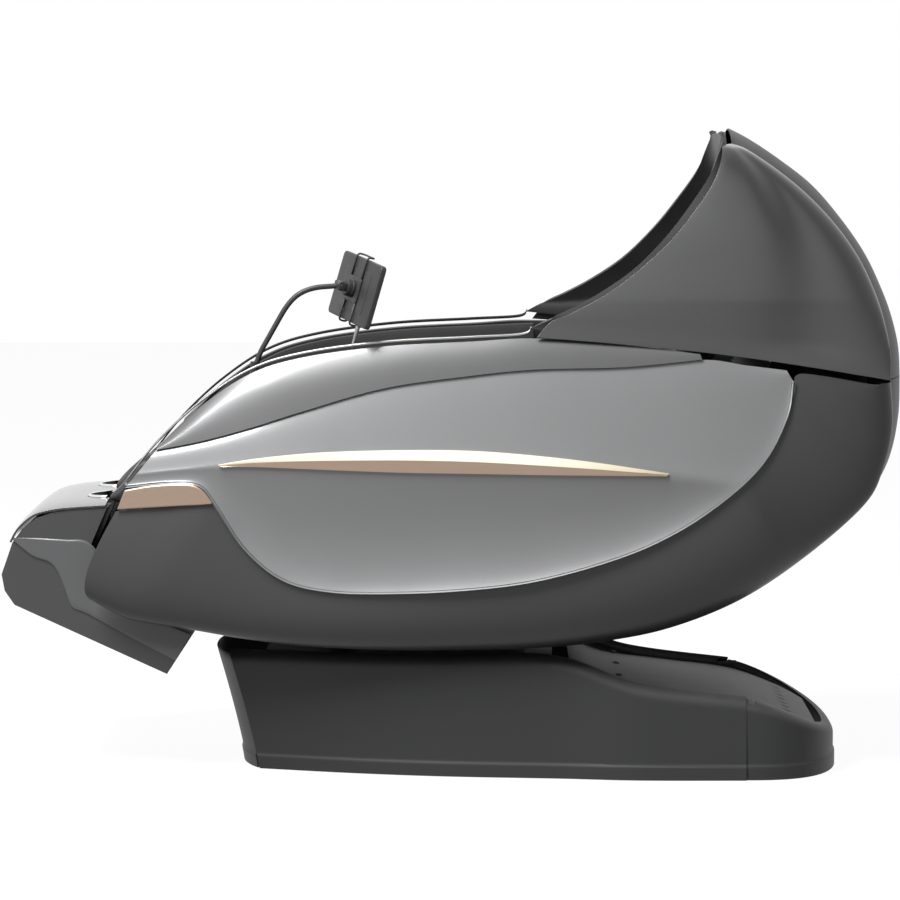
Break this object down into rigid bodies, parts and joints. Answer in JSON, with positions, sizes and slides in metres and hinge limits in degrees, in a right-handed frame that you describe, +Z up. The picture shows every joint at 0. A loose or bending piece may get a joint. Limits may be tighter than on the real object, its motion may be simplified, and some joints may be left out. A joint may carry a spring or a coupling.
{
  "type": "massage chair",
  "caption": "Capsule-shaped zero-gravity massage chair with tilting shell, hood, leg rest with foot wells, massage carriage and tablet on a bent arm",
  "frame": {"origin": "centre of the bounding box at floor level", "axes": "+Z up, the chair faces -Y, the sitter's left side (tablet arm) is +X"},
  "size_m": [0.7974, 1.7224, 1.2333],
  "materials": {
    "frame_steel": "satin powder coat",
    "bare_steel": "machined",
    "shell_gray": "gloss lacquer",
    "shell_dark": "gloss lacquer",
    "base_gray": "fine grain",
    "gloss_black": "gloss",
    "black_plastic": "matte",
    "upholstery": "grained artificial leather",
    "light": "lit diffuser",
    "copper_trim": "satin anodised copper tone",
    "chrome": "polished",
    "rubber": "matte",
    "screen": "glass-like",
    "gray_plastic": "matte"
  },
  "bodies": {
    "base": {"base_frame": "frame_steel", "base_side_left": "base_gray", "base_side_right": "base_gray", "base_nose": "base_gray", "base_deck": "base_gray", "base_tail_cap": "base_gray", "base_feet": "rubber", "power_inlet": "black_plastic", "control_box": "gray_plastic"},
    "power_switch": {"power_switch": "black_plastic"},
    "tilt_cylinder": {"tilt_cylinder": "black_plastic"},
    "tilt_rod": {"tilt_rod": "bare_steel"},
    "capsule": {"seat_frame": "frame_steel", "back_rails": "frame_steel", "side_panel_left": "shell_gray", "side_panel_right": "shell_gray", "shoulder_panel_left": "shell_gray", "shoulder_panel_right": "shell_gray", "lower_shell_left": "shell_dark", "lower_shell_right": "shell_dark", "belly_pan": "shell_dark", "back_cover": "gloss_black", "hood_side_left": "shell_gray", "hood_side_right": "shell_gray", "hood_spine": "gloss_black", "hood_lining": "upholstery", "led_strip_left": "light", "led_strip_right": "light", "copper_spear_left": "copper_trim", "copper_spear_right": "copper_trim", "metal_trim_left": "copper_trim", "metal_trim_right": "copper_trim", "armrest_left": "upholstery", "armrest_right": "upholstery", "seat_cushion": "upholstery", "back_cushion": "upholstery", "head_pillow": "upholstery", "air_pump": "gray_plastic", "arm_socket": "black_plastic"},
    "carriage": {"carriage": "frame_steel"},
    "climb_pinions": {"climb_pinions": "bare_steel"},
    "knead_arms": {"knead_arm_left": "black_plastic", "knead_arm_right": "black_plastic"},
    "rollers_upper": {"rollers_upper": "rubber"},
    "rollers_lower": {"rollers_lower": "rubber"},
    "leg_rest": {"leg_frame": "frame_steel", "calf_shell": "black_plastic", "calf_pad": "upholstery"},
    "leg_cylinder": {"leg_cylinder": "black_plastic"},
    "leg_rod": {"leg_rod": "bare_steel"},
    "foot_unit": {"foot_shell": "black_plastic", "foot_cap": "gloss_black", "foot_rings": "chrome", "foot_pad": "upholstery"},
    "foot_roller": {"foot_roller": "rubber"},
    "arm": {"arm_tube": "bare_steel"},
    "tablet": {"arm_joint": "black_plastic", "tablet_clamp": "black_plastic", "tablet": "screen", "tablet_lead": "gray_plastic"}
  },
  "joints": [
    {"name": "body_tilt", "type": "hinge", "parent": "base", "child": "capsule", "pos_m": [0, 0.152, 0.296], "axis": [-1, 0, 0], "range_deg": [0, 20]},
    {"name": "tilt_cylinder_swing", "type": "hinge", "parent": "base", "child": "tilt_cylinder", "pos_m": [0, -0.2, 0.084], "axis": [1, 0, 0], "range_deg": [-10.12, 1]},
    {"name": "tilt_rod_slide", "type": "slide", "parent": "tilt_cylinder", "child": "tilt_rod", "axis": [0, -0.209, 0.9779], "range_m": [-0.002, 0.1348]},
    {"name": "leg_lift", "type": "hinge", "parent": "capsule", "child": "leg_rest", "pos_m": [0, -0.45, 0.56], "axis": [-1, 0, 0], "range_deg": [0, 50]},
    {"name": "leg_cylinder_swing", "type": "hinge", "parent": "capsule", "child": "leg_cylinder", "pos_m": [0, -0.112, 0.354], "axis": [1, 0, 0], "range_deg": [-1, 4.18]},
    {"name": "leg_rod_slide", "type": "slide", "parent": "leg_cylinder", "child": "leg_rod", "axis": [0, -0.9474, 0.3199], "range_m": [-0.002, 0.0894]},
    {"name": "foot_extend", "type": "slide", "parent": "leg_rest", "child": "foot_unit", "axis": [0, -0.4163, -0.9092], "range_m": [0, 0.12]},
    {"name": "foot_roller_spin", "type": "hinge", "parent": "foot_unit", "child": "foot_roller", "pos_m": [0, -0.66636, 0.27962], "axis": [1, 0, 0], "continuous": true},
    {"name": "carriage_climb", "type": "slide", "parent": "capsule", "child": "carriage", "axis": [0, 0.5, 0.866], "range_m": [0, 0.37]},
    {"name": "climb_pinion_spin", "type": "hinge", "parent": "carriage", "child": "climb_pinions", "pos_m": [0, 0.36388, 0.48164], "axis": [1, 0, 0], "range_deg": [0, 1515]},
    {"name": "knead_swing", "type": "hinge", "parent": "carriage", "child": "knead_arms", "pos_m": [0, 0.3575, 0.53959], "axis": [1, 0, 0], "range_deg": [-8, 8]},
    {"name": "upper_roller_spin", "type": "hinge", "parent": "knead_arms", "child": "rollers_upper", "pos_m": [0, 0.35915, 0.60446], "axis": [1, 0, 0], "continuous": true},
    {"name": "lower_roller_spin", "type": "hinge", "parent": "knead_arms", "child": "rollers_lower", "pos_m": [0, 0.30215, 0.50573], "axis": [1, 0, 0], "continuous": true},
    {"name": "arm_swivel", "type": "hinge", "parent": "capsule", "child": "arm", "pos_m": [0.304, -0.383, 0.77], "axis": [0, 0, 1], "range_deg": [0, 60]},
    {"name": "tablet_tilt", "type": "hinge", "parent": "arm", "child": "tablet", "pos_m": [0.296, -0.222, 0.938], "axis": [0.9112, 0.3913, -0.1287], "range_deg": [0, 25]},
    {"name": "power_switch_press", "type": "hinge", "parent": "base", "child": "power_switch", "pos_m": [0.014, 0.722, 0.036], "axis": [1, 0, 0], "range_deg": [-8, 8]}
  ],
  "couplings": [
    {"joint": "tilt_cylinder_swing", "follows": "body_tilt", "ratio": -0.45593},
    {"joint": "tilt_rod_slide", "follows": "body_tilt", "m_per_rad": 0.37746},
    {"joint": "leg_cylinder_swing", "follows": "leg_lift", "ratio": 0.06359},
    {"joint": "leg_rod_slide", "follows": "leg_lift", "m_per_rad": 0.098992},
    {"joint": "climb_pinion_spin", "follows": "carriage_climb", "rad_per_m": 71.429}
  ]
}
